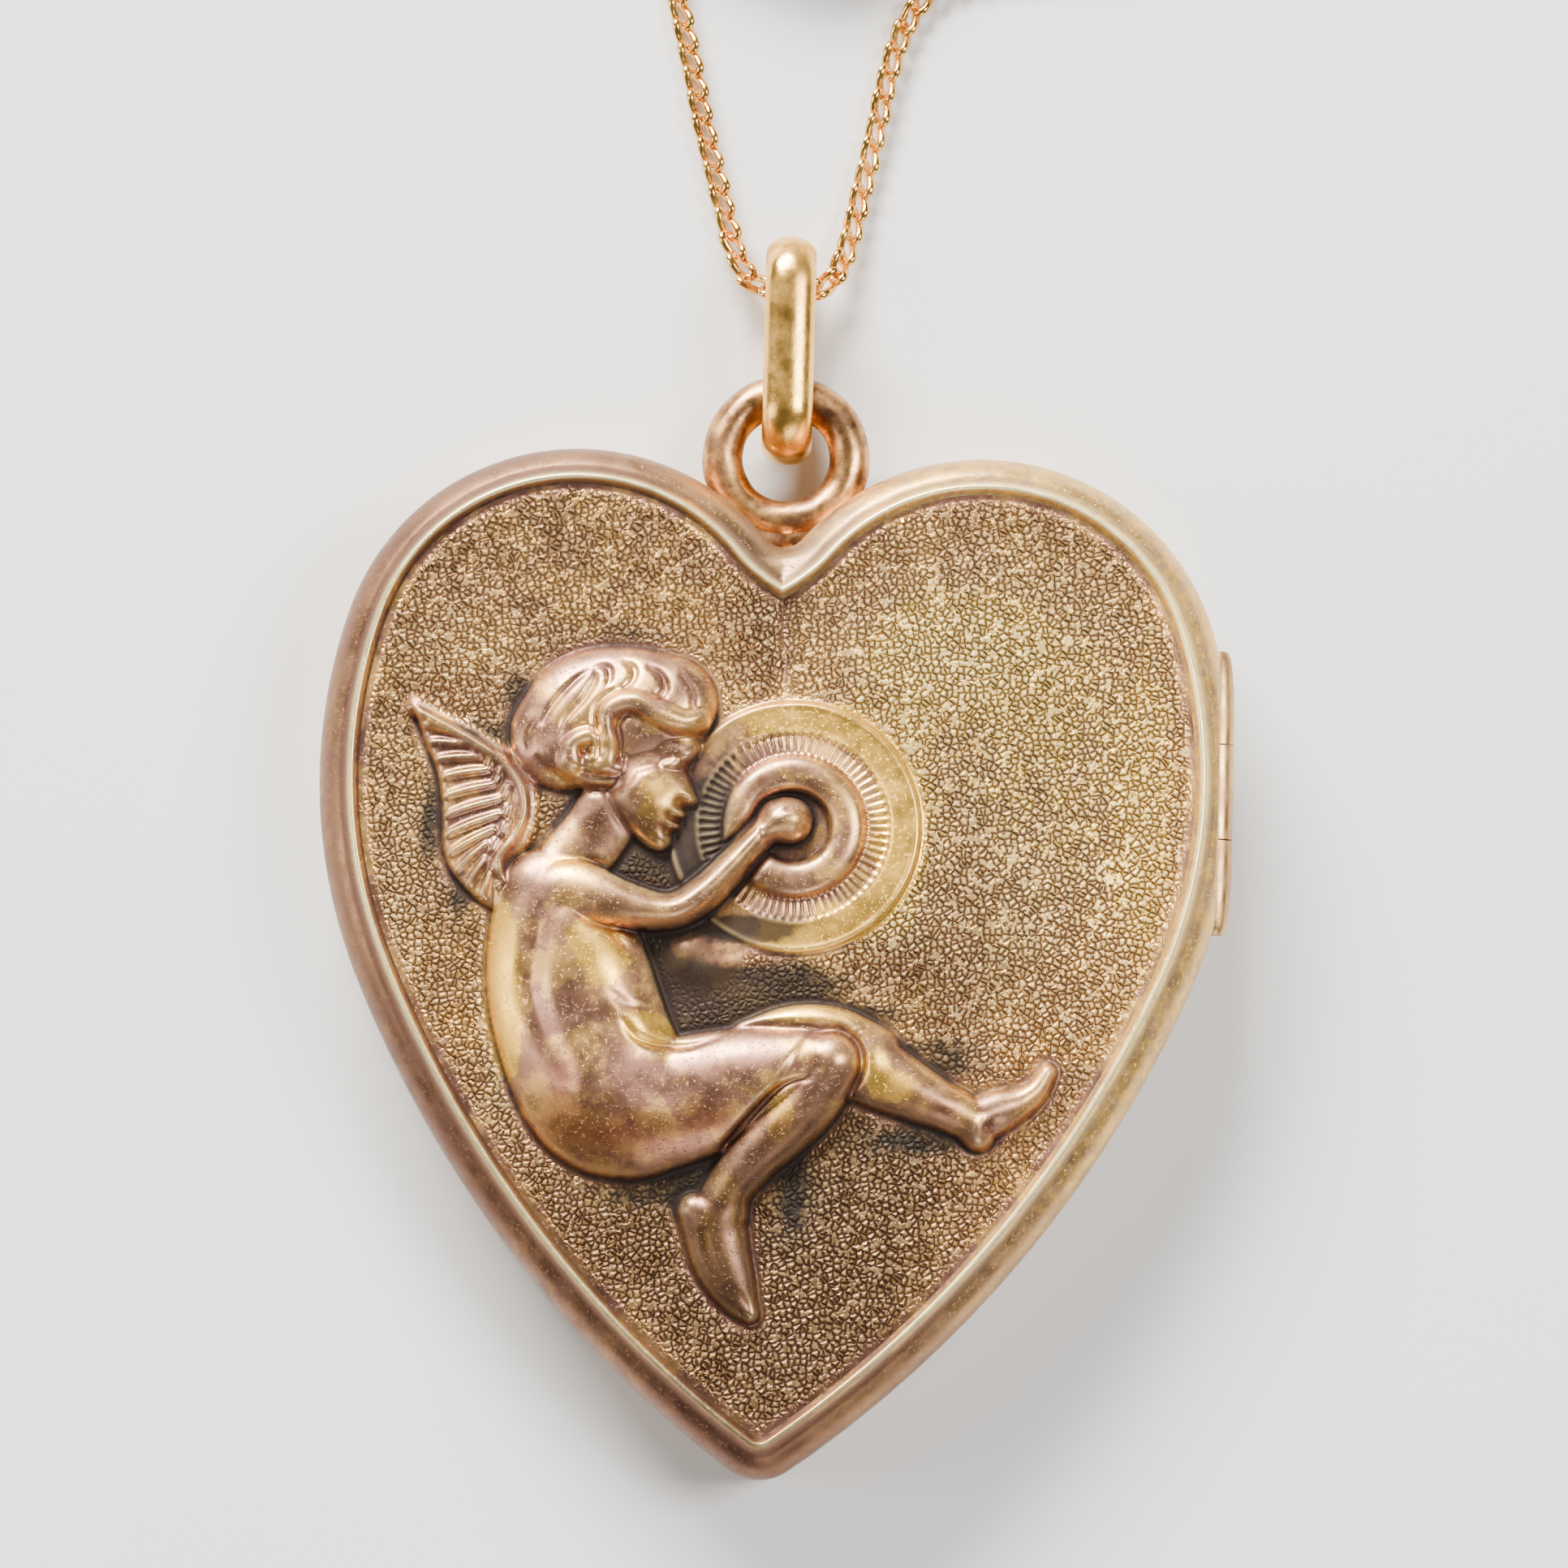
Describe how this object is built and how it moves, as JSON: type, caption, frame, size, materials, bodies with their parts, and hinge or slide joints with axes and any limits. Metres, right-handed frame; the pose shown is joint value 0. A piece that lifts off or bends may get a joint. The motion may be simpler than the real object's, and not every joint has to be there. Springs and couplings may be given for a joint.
{
  "type": "locket",
  "caption": "Heart-shaped hinged locket with a struck relief front, a hanging ring and bail, picture frames inside, on a fine chain.",
  "frame": {"origin": "on the surface the locket lies on, under the middle of the box round the case, hanging ring and bail", "axes": "+Z out of the decorated front, +Y from the heart's point towards the hanging ring, +X towards the hinge"},
  "size_m": [0.0311, 0.0659, 0.0066],
  "materials": {
    "struck_gold": "antique gold-filled, matte struck relief with dark patina",
    "case_gold": "worn satin gold-filled",
    "inner_gold": "polished gold-filled, shielded from wear",
    "hinge_gold": "worn satin",
    "ring_gold": "satin with patina in the joint",
    "bail_gold": "bright polish",
    "chain_gold": "bright polish",
    "crystal": "clear, faintly yellowed",
    "photo_paper": "blank matte card, slightly foxed",
    "spring_steel": "fine drawn wire",
    "tie_thread": "twisted cotton thread"
  },
  "bodies": {
    "case_back": {"back_cover": "case_gold", "snap_rim": "inner_gold", "back_photo": "photo_paper", "back_crystal": "crystal", "back_frame": "inner_gold", "back_knuckle_low": "hinge_gold", "back_knuckle_high": "hinge_gold", "hinge_pin": "hinge_gold", "hanging_ring": "ring_gold", "ring_seat": "ring_gold"},
    "case_front": {"front_cover": "struck_gold", "front_frame": "inner_gold", "front_crystal": "crystal", "front_photo": "photo_paper", "front_knuckle": "hinge_gold"},
    "bail": {"bail": "bail_gold"},
    "chain": {"chain_left_run": "chain_gold", "chain_right_run": "chain_gold", "chain_tail": "chain_gold", "chain_coil": "chain_gold", "coil_tie": "tie_thread", "clasp_body": "bail_gold", "clasp_spring": "spring_steel", "clasp_link": "chain_gold", "end_ring": "chain_gold"},
    "trigger": {"clasp_trigger": "bail_gold"}
  },
  "joints": [
    {"name": "locket_hinge", "type": "hinge", "parent": "case_back", "child": "case_front", "pos_m": [0.015, 0.00231, 0.00302], "axis": [0, 1, 0], "range_deg": [0, 170]},
    {"name": "bail_swing", "type": "hinge", "parent": "case_back", "child": "bail", "pos_m": [0, 0.01585, 0.002], "axis": [1, 0, 0], "range_deg": [0, 120]},
    {"name": "chain_level", "type": "hinge", "parent": "bail", "child": "chain", "pos_m": [0, 0.01985, 0.002], "axis": [1, 0, 0], "range_deg": [-120, 0]},
    {"name": "clasp_slide", "type": "hinge", "parent": "chain", "child": "trigger", "pos_m": [0.0094, 0.03715, 0.001], "axis": [0, 0, 1], "range_deg": [0, 50], "stiffness_Nm_per_rad": 0.0002}
  ],
  "couplings": [
    {"joint": "chain_level", "follows": "bail_swing", "ratio": -1}
  ]
}
